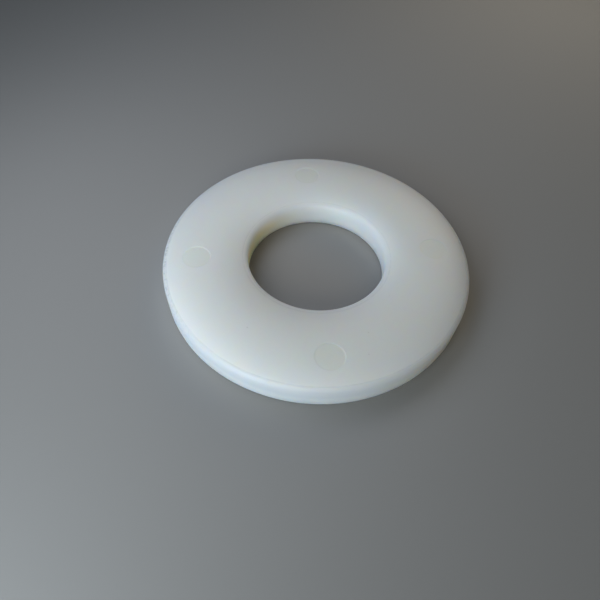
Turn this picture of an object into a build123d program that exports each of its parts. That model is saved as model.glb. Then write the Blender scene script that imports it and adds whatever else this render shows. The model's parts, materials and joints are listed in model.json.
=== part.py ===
from build123d import *
import os

# A flat washer, injection moulded in one piece from natural nylon. Units are millimetres.
# The origin is the centre of the bottom face, and +Z runs up the axis of the bore.

OUTER_DIAMETER = 55.0
BORE_DIAMETER = 25.0
THICKNESS = 5.0
EDGE_RADIUS = 0.7  # the rounding of all four rims, outer and bore, top and bottom

# The mould's ejector pins leave shallow round marks in the top face, on the X and Y axes.
PIN_COUNT = 4
PIN_DIAMETER = 5.0
PIN_CIRCLE_RADIUS = 21.6
PIN_MARK_DEPTH = 0.06


def ring():
    """The plain ring: a rounded rectangular section turned about the axis of the bore."""
    section_width = (OUTER_DIAMETER - BORE_DIAMETER) / 2
    middle_radius = (OUTER_DIAMETER + BORE_DIAMETER) / 4
    section = RectangleRounded(section_width, THICKNESS, EDGE_RADIUS)
    placed_section = Plane.XZ * Pos(middle_radius, THICKNESS / 2) * section
    return revolve(placed_section, Axis.Z)


def ejector_marks():
    """The ends of the ejector pins, as short discs that stand in the top face."""
    disc = Cylinder(PIN_DIAMETER / 2, 2 * PIN_MARK_DEPTH)
    top_face = Pos(0, 0, THICKNESS)
    return [top_face * spot * disc for spot in PolarLocations(PIN_CIRCLE_RADIUS, PIN_COUNT)]


def washer():
    """The ring with one shallow recess for each ejector pin."""
    body = ring() - ejector_marks()
    body.label = "washer"
    return body


os.makedirs("parts", exist_ok=True)
export_step(washer(), "parts/washer.step")
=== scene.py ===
import json
import math

import bmesh
import bpy
from mathutils import Matrix, Vector, noise


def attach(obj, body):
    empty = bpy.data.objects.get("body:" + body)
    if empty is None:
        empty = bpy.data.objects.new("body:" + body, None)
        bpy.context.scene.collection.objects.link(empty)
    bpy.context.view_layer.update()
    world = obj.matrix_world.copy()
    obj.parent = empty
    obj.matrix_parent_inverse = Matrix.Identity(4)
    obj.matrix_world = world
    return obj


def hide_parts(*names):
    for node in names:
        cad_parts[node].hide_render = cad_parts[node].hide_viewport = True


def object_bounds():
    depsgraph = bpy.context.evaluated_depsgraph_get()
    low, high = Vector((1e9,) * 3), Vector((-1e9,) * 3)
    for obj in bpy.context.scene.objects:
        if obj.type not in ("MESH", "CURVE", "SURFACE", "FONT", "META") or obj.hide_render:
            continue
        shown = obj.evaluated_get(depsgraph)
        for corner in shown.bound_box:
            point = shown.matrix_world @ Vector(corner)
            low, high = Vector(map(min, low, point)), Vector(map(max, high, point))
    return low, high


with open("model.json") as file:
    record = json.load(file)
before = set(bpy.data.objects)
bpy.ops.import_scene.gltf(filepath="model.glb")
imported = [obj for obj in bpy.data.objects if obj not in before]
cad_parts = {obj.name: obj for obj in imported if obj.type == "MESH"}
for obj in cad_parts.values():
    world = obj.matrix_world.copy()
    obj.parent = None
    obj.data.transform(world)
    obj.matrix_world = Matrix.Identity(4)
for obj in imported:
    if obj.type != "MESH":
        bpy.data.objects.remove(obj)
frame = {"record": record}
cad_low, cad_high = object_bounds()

MM = 0.001

# ---------------------------------------------------------------------------------------------
# Sizes of the washer, in millimetres: the main ones read from the imported model, the rest given
# ---------------------------------------------------------------------------------------------
BORE_MOUNT = next(mount for mount in frame["record"]["mounts"] if mount["name"] == "bore")
OUTER_RADIUS = (cad_high.x - cad_low.x) / 2 / MM
THICKNESS = (cad_high.z - cad_low.z) / MM
BORE_RADIUS = BORE_MOUNT["dims"]["r_mm"]
EDGE_RADIUS = (THICKNESS - BORE_MOUNT["dims"]["length_mm"]) / 2
OUTER_JUNCTION = OUTER_RADIUS - EDGE_RADIUS  # where the flat faces meet the outer roundings
INNER_JUNCTION = BORE_RADIUS + EDGE_RADIUS  # where they meet the bore's roundings

# The ejector pin marks in the top face, on the X and Y axes
PIN_COUNT = 4
PIN_RADIUS = 2.5
PIN_CIRCLE_RADIUS = 21.6
PIN_DEPTH = 0.06
PIN_SKEW = 0.6  # how much deeper each mark's floor is at its deepest edge, as a share of its depth
PIN_SKEW_ANGLE = 72.0  # the way the deepest edge lies, in degrees

# The witness lines that the mould's joints leave: a fine line of painted shade at each edge of the flat
# top, and a fine ridge just beyond the outer one, on the first row of the rounding
LINE_WIDTH = 0.14
CLEAR_OFFSET = 0.42  # from each edge of the flat top to its evenly spaced rows
INNER_SHADE_STRENGTH = 0.6  # the outer line's is 1
RIDGE_HEIGHT = 0.040
RIDGE_WAVE = 2.0  # the ridge rises and falls over this length
RIDGE_UNEVENNESS = 0.5
TORN_ANGLE = 177.0  # the middle of the stretch where the ridge is torn and painted darker in specks, in degrees
TORN_SPREAD = 26.0
TORN_UNEVENNESS = 1.6
CHIP_SIZE = 0.28
TORN_DARK_ROWS = 4  # how many rows of the rounding are painted darker there
TORN_DARK_STRENGTH = 9.0

# Milky plastic has no hard edge between a lit wall and the top, because light that enters one leaves
# by the other. The shading normals lean over to match.
EDGE_SHARE = 0.30  # how much of its light each of the two gets from the other at their edge
LIGHT_REACH = 5.0  # over this length the share falls to about a third

# The walls are painted deeper in colour than the faces: painted shade, because light leaves the ring
# through them. They are painted paler at the foot, as painted light from the floor, and amber on the
# shaded side, as painted shade where the light has come a long way through the plastic. Each change is
# from nothing at its top height to all of it at its bottom height.
BORE_WALL_SHADE_SHARE = 0.35
FOOT_LIGHT_TOP = 2.8
FOOT_LIGHT_BOTTOM = 0.6
AMBER_SHADE_TOP = 4.6
AMBER_SHADE_BOTTOM = 2.4
SHADED_SIDE = -5.0  # the way the most amber walls face, in degrees
SHADED_SHARPNESS = 2.0
OUTER_AMBER_SHADE_SHARE = 0.5

# Painted light colour: blue light wanders least far through the plastic, so the faces are painted creamier
# this far from their edges
SCATTERED_LIGHT_REACH = 4.0

# The surface isn't dead flat: it has shallow waves, as (length, height)
WAVES = [(9.0, 0.016), (3.0, 0.004)]

# Small moulding faults, as (angle in degrees, distance from the axis, height, reach, rise)
MIDDLE_OF_ROUNDING = EDGE_RADIUS * math.cos(math.radians(45))
FAULTS = [
    (248.8, OUTER_JUNCTION + MIDDLE_OF_ROUNDING, THICKNESS - EDGE_RADIUS + MIDDLE_OF_ROUNDING, 0.20, 0.09),
    (269.8, OUTER_RADIUS, 3.6, 0.26, -0.05),
]

# Dark specks in the top face, as (angle in degrees, distance from the axis, radius)
SPECKS = [(-129.2, 20.1, 0.22), (-69.2, 18.8, 0.18), (-74.2, 22.4, 0.18)]

# What the mesh's points tell the paint, each from 0 to 1, and over 1 where the torn stretch is painted
# darkest
MASKS = ("pin_mark", "witness", "wall", "foot", "amber", "cream")

# ---------------------------------------------------------------------------------------------
# Mesh density
# ---------------------------------------------------------------------------------------------
COLUMNS = 960
TOP_ROWS = 32
BOTTOM_ROWS = 10
WALL_ROWS = 8
ARC_STEPS = 6
PATCH_HALF_SIZE = 3.2  # half the side of the square of top face that is remeshed round a pin mark
PATCH_BLENDS = (0.4, 0.75)  # the patch's own loops, from its outline at 0 to the mark's lip at 1


def arc(centre_radius, centre_height, start_degrees, end_degrees):
    """The (radius, height) points of one rounded rim, without its two ends."""
    points = []
    for step in range(1, ARC_STEPS):
        turn = math.radians(start_degrees + (end_degrees - start_degrees) * step / ARC_STEPS)
        radius = centre_radius + EDGE_RADIUS * math.cos(turn)
        height = centre_height + EDGE_RADIUS * math.sin(turn)
        points.append((radius, height))
    return points


def line(start, end, steps):
    """The (radius, height) points of one straight side, evenly spaced, with both its ends."""
    start, end = Vector(start), Vector(end)
    return [tuple(start.lerp(end, step / steps)) for step in range(steps + 1)]


def top_rows():
    """The top face from the bore outwards, with closer rows where the witness lines run."""
    rows = [(INNER_JUNCTION, THICKNESS), (INNER_JUNCTION + LINE_WIDTH, THICKNESS)]
    start, end = INNER_JUNCTION + CLEAR_OFFSET, OUTER_JUNCTION - CLEAR_OFFSET
    rows += line((start, THICKNESS), (end, THICKNESS), TOP_ROWS)
    rows += [(OUTER_JUNCTION - LINE_WIDTH, THICKNESS), (OUTER_JUNCTION, THICKNESS)]
    return rows


def section():
    """The washer's section: over the top, down the outside, back under and up the bore."""
    low, high = EDGE_RADIUS, THICKNESS - EDGE_RADIUS
    rows = top_rows()
    rows += arc(OUTER_JUNCTION, high, 90, 0)
    rows += line((OUTER_RADIUS, high), (OUTER_RADIUS, low), WALL_ROWS)
    rows += arc(OUTER_JUNCTION, low, 0, -90)
    rows += line((OUTER_JUNCTION, 0), (INNER_JUNCTION, 0), BOTTOM_ROWS)
    rows += arc(INNER_JUNCTION, low, -90, -180)
    rows += line((BORE_RADIUS, low), (BORE_RADIUS, high), WALL_ROWS)
    rows += arc(INNER_JUNCTION, high, 180, 90)
    return rows


def polar(radius, angle, height):
    return Vector((radius * math.cos(angle), radius * math.sin(angle), height))


# ---------------------------------------------------------------------------------------------
# The ring, with a finer patch round each pin mark
# ---------------------------------------------------------------------------------------------
# Each pin mark from outside in, as (radius, depth): its raised lip, its wall and its flat floor
PIN_PROFILE = [
    (PIN_RADIUS + 0.40, 0.0),
    (PIN_RADIUS + 0.12, 0.0),
    (PIN_RADIUS + 0.05, -0.003),
    (PIN_RADIUS - 0.01, 0.010),
    (PIN_RADIUS - 0.10, PIN_DEPTH - 0.010),
    (PIN_RADIUS - 0.17, PIN_DEPTH),
    (PIN_RADIUS - 0.35, PIN_DEPTH),
    (PIN_RADIUS * 0.62, PIN_DEPTH),
    (PIN_RADIUS * 0.34, PIN_DEPTH),
    (PIN_RADIUS * 0.12, PIN_DEPTH),
]


def patch_rows():
    """The first and last rows of the top face that bound the patch round a pin mark."""
    radii = [radius for radius, height in top_rows()]
    first = max(i for i, radius in enumerate(radii) if radius <= PIN_CIRCLE_RADIUS - PATCH_HALF_SIZE)
    last = min(i for i, radius in enumerate(radii) if radius >= PIN_CIRCLE_RADIUS + PATCH_HALF_SIZE)
    return first, last


def patch_reach():
    """How many columns the patch reaches to each side of its pin mark."""
    column_width = 2 * math.pi * PIN_CIRCLE_RADIUS / COLUMNS
    return round(PATCH_HALF_SIZE / column_width)


def patch_boundary(grid, column):
    """The grid's vertices round one patch, in order."""
    first, last = patch_rows()
    reach = patch_reach()
    start, end = column - reach, column + reach
    loop = [grid[first][c % COLUMNS] for c in range(start, end)]
    loop += [grid[r][end % COLUMNS] for r in range(first, last)]
    loop += [grid[last][c % COLUMNS] for c in range(end, start, -1)]
    loop += [grid[r][start % COLUMNS] for r in range(last, first, -1)]
    return loop


def join_loops(mesh, outer, inner):
    """A band of quads between two closed loops with the same number of vertices."""
    count = len(outer)
    for i in range(count):
        mesh.faces.new((outer[i], outer[(i + 1) % count], inner[(i + 1) % count], inner[i]))


def pin_mark_loops(centre, boundary):
    """The places of a patch's loops from its outline inwards, each with its depth in the mark."""
    spokes = [(vertex.co - centre).normalized() for vertex in boundary]
    lip = PIN_PROFILE[0][0]
    deepest = polar(1, math.radians(PIN_SKEW_ANGLE), 0)
    loops = []
    for blend in PATCH_BLENDS:
        places = [v.co.lerp(centre + spoke * lip, blend) for v, spoke in zip(boundary, spokes)]
        loops.append((places, 0.0))
    for radius, depth in PIN_PROFILE:
        places = []
        for spoke in spokes:
            skewed = depth * (1 + PIN_SKEW * spoke.dot(deepest) * radius / PIN_RADIUS)
            places.append(centre + spoke * radius - Vector((0, 0, skewed)))
        loops.append((places, depth))
    return loops


def add_patch_vertex(mesh, place, depth, masks):
    vertex = mesh.verts.new(place)
    vertex[masks["pin_mark"]] = 1.0 if depth > PIN_DEPTH / 2 else 0.0
    vertex[masks["cream"]] = scattered_light_share(math.hypot(place.x, place.y))
    return vertex


def add_pin_mark(mesh, grid, column, masks):
    """Fills one patch with loops that turn from the grid's outline into the round mark."""
    centre = polar(PIN_CIRCLE_RADIUS, 2 * math.pi * column / COLUMNS, THICKNESS)
    outer = patch_boundary(grid, column)
    for places, depth in pin_mark_loops(centre, outer):
        inner = [add_patch_vertex(mesh, place, depth, masks) for place in places]
        join_loops(mesh, outer, inner)
        outer = inner
    middle = add_patch_vertex(mesh, centre - Vector((0, 0, PIN_DEPTH)), PIN_DEPTH, masks)
    for i in range(len(outer)):
        mesh.faces.new((outer[i], outer[(i + 1) % len(outer)], middle))


def inside_patch(row, column):
    first, last = patch_rows()
    spacing = COLUMNS // PIN_COUNT
    from_mark = (column + spacing // 2) % spacing - spacing // 2
    return first <= row < last and -patch_reach() <= from_mark < patch_reach()


def chips(place, angle):
    """From -1 to 1: how the torn stretch is chipped here. Far from that stretch it is 0."""
    away = (angle - TORN_ANGLE + 180) % 360 - 180
    return math.exp(-((away / TORN_SPREAD) ** 2)) * noise.noise(place / CHIP_SIZE)


def ridge_height(place, angle):
    """The witness ridge's height: a little uneven all round, and more so where it is torn."""
    uneven = 1 + RIDGE_UNEVENNESS * noise.noise(place / RIDGE_WAVE)
    return RIDGE_HEIGHT * uneven * (1 + TORN_UNEVENNESS * chips(place, angle))


def torn_darkening(place, angle):
    """How much darker the torn stretch of the rounding is painted, in specks."""
    return TORN_DARK_STRENGTH * max(0.0, chips(place, angle))


def turn_over_edge(beyond, height):
    """The section's turn at a top edge: 0 on the top face and a right angle on the wall."""
    return math.atan2(max(0.0, beyond), max(0.0, height - (THICKNESS - EDGE_RADIUS)))


def wall_light(beyond, height):
    """How much of a point's light came in by the wall at a top edge, from 0 to 1."""
    turned = turn_over_edge(beyond, height) / math.radians(90)
    along_top = max(0.0, -beyond)
    down_wall = max(0.0, THICKNESS - EDGE_RADIUS - height)
    from_top = (1 - turned) * EDGE_SHARE * math.exp(-along_top / LIGHT_REACH)
    from_wall = turned * (1 - EDGE_SHARE * math.exp(-down_wall / LIGHT_REACH))
    return from_top + from_wall


def soft_normal(vertex):
    """The mesh's own normal, leaned over as far as the top and the walls share their light."""
    place = vertex.co
    if place.z < EDGE_RADIUS:
        return vertex.normal.copy()
    radius = math.hypot(place.x, place.y)
    outwards = Vector((place.x, place.y, 0)) / radius
    outer = (radius - OUTER_JUNCTION, place.z)  # how far beyond the edge of the flat top, and how high
    inner = (INNER_JUNCTION - radius, place.z)
    outer_turn, inner_turn = turn_over_edge(*outer), turn_over_edge(*inner)
    outer_share, inner_share = wall_light(*outer), wall_light(*inner)
    own = outwards * (math.sin(outer_turn) - math.sin(inner_turn))
    own.z = math.cos(outer_turn) * math.cos(inner_turn)
    shared = outwards * (outer_share - inner_share)
    shared.z = 1 - outer_share - inner_share
    return (vertex.normal + shared.normalized() - own).normalized()


# How much painted shade the walls get
def wall_shade_share(radius):
    """0 on the flat faces, and up to 1 on the outer wall or BORE_WALL_SHADE_SHARE on the bore's wall."""
    outside = math.sqrt(max(0.0, radius - OUTER_JUNCTION) / EDGE_RADIUS)
    inside = math.sqrt(max(0.0, INNER_JUNCTION - radius) / EDGE_RADIUS)
    return outside + BORE_WALL_SHADE_SHARE * inside


def fade_down(radius, height, top, bottom):
    """On the walls, 0 at the top height and 1 at the bottom height and below; 0 on the flat faces."""
    if INNER_JUNCTION <= radius <= OUTER_JUNCTION:
        return 0.0
    return min(1.0, max(0.0, (top - height) / (top - bottom)))


# The share of the painted light colour
def scattered_light_share(radius):
    """0 at the edges of the flat faces and beyond, and 1 from SCATTERED_LIGHT_REACH inwards."""
    from_edge = min(radius - INNER_JUNCTION, OUTER_JUNCTION - radius)
    return min(1.0, max(0.0, from_edge / SCATTERED_LIGHT_REACH))


def shaded_share(radius, angle):
    """From 0 to 1: how much painted amber shade the wall at this angle in degrees gets, by the way it
    faces.
    """
    facing = math.cos(math.radians(angle - SHADED_SIDE))
    if radius < INNER_JUNCTION:
        return max(0.0, -facing) ** SHADED_SHARPNESS
    return OUTER_AMBER_SHADE_SHARE * max(0.0, facing) ** SHADED_SHARPNESS


def add_grid(mesh, rows, masks):
    """The ring's grid of vertices, row by row round the axis, with the masks of its colours."""
    grid = []
    for radius, height in rows:
        loop = []
        for column in range(COLUMNS):
            angle = 360 * column / COLUMNS
            vertex = mesh.verts.new(polar(radius, math.radians(angle), height))
            amber = fade_down(radius, height, AMBER_SHADE_TOP, AMBER_SHADE_BOTTOM)
            # painted shade on the walls
            vertex[masks["wall"]] = wall_shade_share(radius)
            # painted light at the feet of the walls
            vertex[masks["foot"]] = fade_down(radius, height, FOOT_LIGHT_TOP, FOOT_LIGHT_BOTTOM)
            # painted amber shade on the walls' shaded side
            vertex[masks["amber"]] = amber * shaded_share(radius, angle)
            # painted light colour, creamier inwards
            vertex[masks["cream"]] = scattered_light_share(radius)
            loop.append(vertex)
        grid.append(loop)
    return grid


def add_ridge_and_edge_shade(grid, edge_shade_and_specks_mask):
    """Paints shade along the lines at the top's two edges, raises the ridge, and paints its torn stretch
    darker in specks.
    """
    ridge_row = len(top_rows())
    inner_line_row, outer_line_row = 1, ridge_row - 1
    for column in range(COLUMNS):
        angle = 360 * column / COLUMNS
        # painted shade along the lines at the top's two edges
        grid[inner_line_row][column][edge_shade_and_specks_mask] = INNER_SHADE_STRENGTH
        grid[outer_line_row][column][edge_shade_and_specks_mask] = 1.0
        # the torn stretch painted darker in specks
        for row in range(ridge_row, ridge_row + TORN_DARK_ROWS):
            grid[row][column][edge_shade_and_specks_mask] = torn_darkening(grid[row][column].co, angle)
        crest = grid[ridge_row][column]
        crest.co.z += ridge_height(crest.co, angle)


def make_uneven(mesh):
    """Moves each vertex along its normal: the shallow waves all over, and the few small faults."""
    mesh.normal_update()
    faults = []
    for angle, radius, height, reach, rise in FAULTS:
        faults.append((polar(radius, math.radians(angle), height), reach, rise))
    for vertex in mesh.verts:
        rise = sum(height * noise.noise(vertex.co / length) for length, height in WAVES)
        for centre, reach, fault_rise in faults:
            rise += fault_rise * math.exp(-(((vertex.co - centre).length / reach) ** 2))
        vertex.co += vertex.normal * rise


def fill_grid(mesh, grid):
    """The grid's faces, all but those that the patches round the pin marks replace."""
    for row, here in enumerate(grid):
        following = grid[(row + 1) % len(grid)]
        for column in range(COLUMNS):
            if not inside_patch(row, column):
                right = (column + 1) % COLUMNS
                mesh.faces.new((here[column], following[column], following[right], here[right]))


def ring_mesh():
    """The washer's mesh in metres, and its shading normals."""
    mesh = bmesh.new()
    layers = mesh.verts.layers.float
    for name in MASKS:
        layers.new(name)
    masks = {name: layers[name] for name in MASKS}
    grid = add_grid(mesh, section(), masks)
    add_ridge_and_edge_shade(grid, masks["witness"])
    fill_grid(mesh, grid)
    for pin in range(PIN_COUNT):
        add_pin_mark(mesh, grid, pin * COLUMNS // PIN_COUNT, masks)
    loose = [vertex for vertex in mesh.verts if not vertex.link_faces]
    bmesh.ops.delete(mesh, geom=loose, context="VERTS")
    bmesh.ops.recalc_face_normals(mesh, faces=mesh.faces)
    make_uneven(mesh)
    mesh.normal_update()
    normals = [soft_normal(vertex) for vertex in mesh.verts]
    bmesh.ops.scale(mesh, vec=(MM, MM, MM), verts=mesh.verts)
    return mesh, normals


def make_ring(material):
    mesh, normals = ring_mesh()
    data = bpy.data.meshes.new("washer_ring")
    mesh.to_mesh(data)
    mesh.free()
    data.shade_smooth()
    data.normals_split_custom_set_from_vertices(normals)
    data.materials.append(material)
    ring = bpy.data.objects.new("washer_ring", data)
    bpy.context.scene.collection.objects.link(ring)
    return ring


# ---------------------------------------------------------------------------------------------
# Shader building blocks
# ---------------------------------------------------------------------------------------------
# The Mix node names its sockets alike for each type of value, so the colour ones go by number
MIX_COLOUR_A = 6
MIX_COLOUR_B = 7
MIX_COLOUR_RESULT = 2


def feed(tree, value, socket):
    """Gives a socket another node's output, or a plain value."""
    if isinstance(value, bpy.types.NodeSocket):
        tree.links.new(value, socket)
    else:
        socket.default_value = value


def place_in_mm(tree):
    """The point on the object, in millimetres."""
    coordinates = tree.nodes.new("ShaderNodeTexCoord")
    scale = tree.nodes.new("ShaderNodeVectorMath")
    scale.operation = "SCALE"
    feed(tree, coordinates.outputs["Object"], scale.inputs["Vector"])
    feed(tree, 1 / MM, scale.inputs["Scale"])
    return scale.outputs["Vector"]


def cloudy(tree, place, size, detail=2.0, stretch=(1, 1, 1), turn=0.0):
    """Noise from 0 to 1, with features of about this size in millimetres."""
    mapping = tree.nodes.new("ShaderNodeMapping")
    feed(tree, place, mapping.inputs["Vector"])
    feed(tree, stretch, mapping.inputs["Scale"])
    feed(tree, (0, 0, turn), mapping.inputs["Rotation"])
    texture = tree.nodes.new("ShaderNodeTexNoise")
    feed(tree, mapping.outputs["Vector"], texture.inputs["Vector"])
    feed(tree, 1 / size, texture.inputs["Scale"])
    feed(tree, detail, texture.inputs["Detail"])
    return texture.outputs["Fac"]


def remap(tree, value, old_low, old_high, new_low=0.0, new_high=1.0):
    """Moves a value from one range to another, and keeps it there."""
    ramp = tree.nodes.new("ShaderNodeMapRange")
    ramp.interpolation_type = "SMOOTHSTEP"
    feed(tree, value, ramp.inputs["Value"])
    feed(tree, old_low, ramp.inputs["From Min"])
    feed(tree, old_high, ramp.inputs["From Max"])
    feed(tree, new_low, ramp.inputs["To Min"])
    feed(tree, new_high, ramp.inputs["To Max"])
    return ramp.outputs["Result"]


def combine(tree, operation, first, second):
    maths = tree.nodes.new("ShaderNodeMath")
    maths.operation = operation
    feed(tree, first, maths.inputs[0])
    feed(tree, second, maths.inputs[1])
    return maths.outputs["Value"]


def tint(tree, amount, colour, towards):
    """A colour moved towards another by an amount from 0 to 1."""
    mix = tree.nodes.new("ShaderNodeMix")
    mix.data_type = "RGBA"
    feed(tree, amount, mix.inputs["Factor"])
    feed(tree, colour, mix.inputs[MIX_COLOUR_A])
    feed(tree, towards, mix.inputs[MIX_COLOUR_B])
    return mix.outputs[MIX_COLOUR_RESULT]


def painted_mask(tree, name):
    """A mask that the mesh carries."""
    attribute = tree.nodes.new("ShaderNodeAttribute")
    attribute.attribute_name = name
    return attribute.outputs["Fac"]


def relief(tree, height, depth, below=None):
    """Bump of this depth in millimetres, on top of any bump below it."""
    bump = tree.nodes.new("ShaderNodeBump")
    feed(tree, depth * MM, bump.inputs["Distance"])
    feed(tree, height, bump.inputs["Height"])
    if below:
        feed(tree, below, bump.inputs["Normal"])
    return bump.outputs["Normal"]


# ---------------------------------------------------------------------------------------------
# Natural nylon
# ---------------------------------------------------------------------------------------------
MILK = (0.89, 0.92, 0.92, 1)
MILK_DRIFT = (0.91, 0.93, 0.90, 1)
# Painted light colour, creamier away from the edges of the faces
SCATTERED_LIGHT_CREAM = (0.90, 0.915, 0.885, 1)
# Painted shade, darker and bluer on the walls
WALL_SHADE = (0.70, 0.74, 0.79, 1)
# Painted light from the floor, paler at the feet of the walls
FOOT_LIGHT = (0.97, 0.96, 0.92, 1)
# Painted shade, amber on the walls' shaded side
AMBER_SHADE = (1.0, 0.87, 0.52, 1)
PIN_TINT = (0.84, 0.88, 0.78, 1)
# Painted shade along the lines at the top's edges, also the colour of the torn stretch's darker specks
EDGE_SHADE_AND_SPECKS = (0.36, 0.42, 0.47, 1)
SPECK = (0.35, 0.33, 0.28, 1)

PIN_TINT_STRENGTH = 0.35
EDGE_SHADE_STRENGTH = (0.12, 0.25)  # from its faintest to its strongest
SPECK_STRENGTH = 0.25
ROUGHNESS = (0.41, 0.47)
SCRATCH_DULLNESS = 0.12
SCRATCH_TURNS = (0.4, 1.5, 2.5)  # the ways the scratches run, in radians
SCRATCH_STRETCH = (0.35, 18.0, 0.35)  # draws a cloud out into hairlines

# Which values of the noise each feature starts and is complete at
ALL_NOISE = (0.3, 0.7)
EDGE_SHADE_NOISE = (0.35, 0.60)
SCRATCH_NOISE = (0.70, 0.78)

# Sizes of the material's features, in millimetres
DRIFT_SIZE = 7.0
EDGE_SHADE_SIZE = 1.2
DULL_PATCH_SIZE = 2.2
SCRATCH_SIZE = 2.4
INCLUSION_SPACING = 6.0
INCLUSION_RADIUS = 0.12
SCATTER_RADIUS = (5.0, 4.0, 3.0)  # how far red, green and blue light wander

# The relief of the moulded skin, as (size, depth) in millimetres
ORANGE_PEEL = (1.6, 0.008)
GRAIN = (0.22, 0.0016)
RAGGED_LINE = (0.18, 0.03)
SCRATCH_DEPTH = 0.002

NYLON_IOR = 1.53


def speck_mask(tree, place):
    """1 in the middle of each dark speck in the top face."""
    mask = 0.0
    for angle, radius, size in SPECKS:
        away = tree.nodes.new("ShaderNodeVectorMath")
        away.operation = "DISTANCE"
        feed(tree, place, away.inputs[0])
        feed(tree, polar(radius, math.radians(angle), THICKNESS), away.inputs[1])
        mask = combine(tree, "MAXIMUM", mask, remap(tree, away.outputs["Value"], size, 0.0))
    return mask


def inclusion_mask(tree, place):
    """1 in the few tiny inclusions that show all through the plastic."""
    cells = tree.nodes.new("ShaderNodeTexVoronoi")
    feed(tree, place, cells.inputs["Vector"])
    feed(tree, 1 / INCLUSION_SPACING, cells.inputs["Scale"])
    return remap(tree, cells.outputs["Distance"], INCLUSION_RADIUS / INCLUSION_SPACING, 0.0)


def scratch_mask(tree, place):
    """1 along the hairline scratches that handling leaves, in three directions."""
    mask = 0.0
    for turn in SCRATCH_TURNS:
        lines = cloudy(tree, place, SCRATCH_SIZE, detail=1.0, stretch=SCRATCH_STRETCH, turn=turn)
        mask = combine(tree, "MAXIMUM", mask, remap(tree, lines, *SCRATCH_NOISE))
    return mask


def nylon_colour(tree, place):
    """Milky white, with painted light and shade: creamier inwards, darker, bluer and amber on the walls,
    paler at their feet, and darker along the top's edges; with tinted marks, darker torn specks and dark
    specks.
    """
    colour = tint(tree, remap(tree, cloudy(tree, place, DRIFT_SIZE), *ALL_NOISE), MILK, MILK_DRIFT)
    # Painted light and shade: creamier faces inwards, darker and bluer walls, paler feet, amber on the
    # shaded side
    for mask, towards in (("cream", SCATTERED_LIGHT_CREAM), ("wall", WALL_SHADE), ("foot", FOOT_LIGHT), ("amber", AMBER_SHADE)):
        colour = tint(tree, painted_mask(tree, mask), colour, towards)
    pin = combine(tree, "MULTIPLY", painted_mask(tree, "pin_mark"), PIN_TINT_STRENGTH)
    colour = tint(tree, pin, colour, PIN_TINT)
    # Painted shade along the lines at the top's two edges, broken up by noise, with the torn stretch's
    # darker specks
    broken = remap(tree, cloudy(tree, place, EDGE_SHADE_SIZE, detail=3.0), *EDGE_SHADE_NOISE, *EDGE_SHADE_STRENGTH)
    edge_shade_and_specks = combine(tree, "MULTIPLY", painted_mask(tree, "witness"), broken)
    colour = tint(tree, edge_shade_and_specks, colour, EDGE_SHADE_AND_SPECKS)
    dark = combine(tree, "MAXIMUM", speck_mask(tree, place), inclusion_mask(tree, place))
    return tint(tree, combine(tree, "MULTIPLY", dark, SPECK_STRENGTH), colour, SPECK)


def nylon_roughness(tree, place, scratches):
    """Satin, a little uneven, and duller on the scratches."""
    uneven = cloudy(tree, place, DULL_PATCH_SIZE, detail=4.0)
    duller = combine(tree, "MULTIPLY", scratches, SCRATCH_DULLNESS)
    return combine(tree, "ADD", remap(tree, uneven, *ALL_NOISE, *ROUGHNESS), duller)


def nylon_relief(tree, place, scratches):
    """The moulded skin: a faint orange peel, a fine grain, the scratches and the ragged lines."""
    peel_size, peel_depth = ORANGE_PEEL
    normal = relief(tree, cloudy(tree, place, peel_size, detail=2.0), peel_depth)
    grain_size, grain_depth = GRAIN
    normal = relief(tree, cloudy(tree, place, grain_size, detail=3.0), grain_depth, below=normal)
    normal = relief(tree, combine(tree, "SUBTRACT", 1.0, scratches), SCRATCH_DEPTH, below=normal)
    ragged_size, ragged_depth = RAGGED_LINE
    cut = combine(tree, "MULTIPLY", painted_mask(tree, "witness"), cloudy(tree, place, ragged_size))
    return relief(tree, combine(tree, "SUBTRACT", 1.0, cut), ragged_depth, below=normal)


def nylon():
    material = bpy.data.materials.new("natural_nylon")
    material.use_nodes = True
    tree = material.node_tree
    shader = tree.nodes["Principled BSDF"]
    place = place_in_mm(tree)
    scratches = scratch_mask(tree, place)
    feed(tree, nylon_colour(tree, place), shader.inputs["Base Color"])
    feed(tree, nylon_roughness(tree, place, scratches), shader.inputs["Roughness"])
    feed(tree, nylon_relief(tree, place, scratches), shader.inputs["Normal"])
    shader.inputs["IOR"].default_value = NYLON_IOR
    shader.inputs["Subsurface Weight"].default_value = 1.0
    shader.inputs["Subsurface Scale"].default_value = MM
    shader.inputs["Subsurface Radius"].default_value = SCATTER_RADIUS
    return material


# ---------------------------------------------------------------------------------------------
# Floor, lights and camera
# ---------------------------------------------------------------------------------------------
FLOOR_SIZE = 4.0
FLOOR_GAP = 0.05 * MM  # keeps the floor from meeting the washer's bottom face
FLOOR_COLOUR = (0.33, 0.33, 0.33, 1)
FLOOR_ROUGHNESS = 0.85

CAMERA_AZIMUTH = -9.2
CAMERA_ELEVATION = 49.7
CAMERA_DISTANCE = 91.85 * MM
CAMERA_AIM = Vector((-3.41, -6.82, 0.0)) * MM
CAMERA_ROLL = 3.08
CAMERA_LENS = 29.0
SENSOR_WIDTH = 36.0

# Soft round lights, each as (name, azimuth from the camera's and elevation in degrees, distance and
# diameter in metres, power in watts, colour)
LIGHTS = [
    ("front", -5, 30, 0.6, 0.35, 0.85, (1.0, 0.90, 0.71)),
    ("side", -35, 13, 0.6, 0.25, 0.82, (0.38, 0.70, 1.0)),
    ("back_right", 150, 30, 0.2, 0.12, 0.064, (1.0, 0.89, 0.72)),
    ("back_left", -150, 55, 0.2, 0.12, 0.040, (0.57, 0.74, 1.0)),
    ("near_left", -90, 50, 0.1, 0.08, 0.029, (0.90, 0.94, 1.0)),
    ("near_front", -30, 19, 0.1, 0.06, 0.025, (0.85, 0.95, 1.0)),
]


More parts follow.
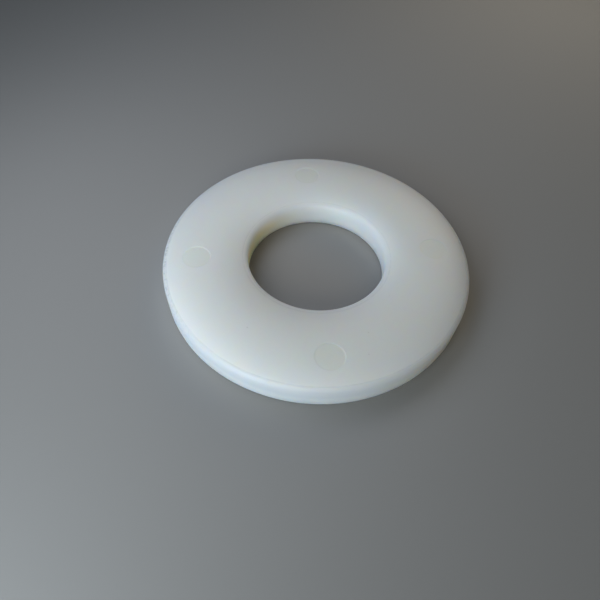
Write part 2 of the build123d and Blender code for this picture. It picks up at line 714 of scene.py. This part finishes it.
def direction(azimuth, elevation):
    """Towards a light or the camera: azimuth 0 is in front, at -Y, and 90 is at +X."""
    a, e = math.radians(azimuth), math.radians(elevation)
    return Vector((math.sin(a) * math.cos(e), -math.cos(a) * math.cos(e), math.sin(e)))


def floor_paint():
    material = bpy.data.materials.new("floor_paint")
    material.use_nodes = True
    shader = material.node_tree.nodes["Principled BSDF"]
    shader.inputs["Base Color"].default_value = FLOOR_COLOUR
    shader.inputs["Roughness"].default_value = FLOOR_ROUGHNESS
    return material


def make_floor():
    half = FLOOR_SIZE / 2
    data = bpy.data.meshes.new("floor")
    corners = [(-half, -half, 0), (half, -half, 0), (half, half, 0), (-half, half, 0)]
    data.from_pydata(corners, [], [(0, 1, 2, 3)])
    data.materials.append(floor_paint())
    floor = bpy.data.objects.new("floor", data)
    floor.location.z = cad_low.z - FLOOR_GAP
    bpy.context.scene.collection.objects.link(floor)


def soft_light(name, azimuth, elevation, distance, diameter, power, colour):
    data = bpy.data.lights.new(name, "AREA")
    data.shape = "DISK"
    data.size = diameter
    data.energy = power
    data.color = colour
    light = bpy.data.objects.new(name, data)
    towards = direction(CAMERA_AZIMUTH + azimuth, elevation)
    light.location = towards * distance
    light.rotation_mode = "QUATERNION"
    light.rotation_quaternion = towards.to_track_quat("Z", "Y")
    light.visible_camera = False
    bpy.context.scene.collection.objects.link(light)


def make_camera():
    data = bpy.data.cameras.new("camera")
    data.sensor_width = SENSOR_WIDTH
    data.lens = CAMERA_LENS
    data.clip_start = MM
    camera = bpy.data.objects.new("camera", data)
    camera.location = direction(CAMERA_AZIMUTH, CAMERA_ELEVATION) * CAMERA_DISTANCE
    camera.rotation_mode = "QUATERNION"
    sight = (CAMERA_AIM - camera.location).to_track_quat("-Z", "Y")
    roll = Matrix.Rotation(math.radians(CAMERA_ROLL), 3, "Z").to_quaternion()
    camera.rotation_quaternion = sight @ roll
    bpy.context.scene.collection.objects.link(camera)
    bpy.context.scene.camera = camera


ring = make_ring(nylon())
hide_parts("washer")
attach(ring, "root")
make_floor()
for light in LIGHTS:
    soft_light(*light)
make_camera()
bpy.context.scene.view_settings.view_transform = "Standard"
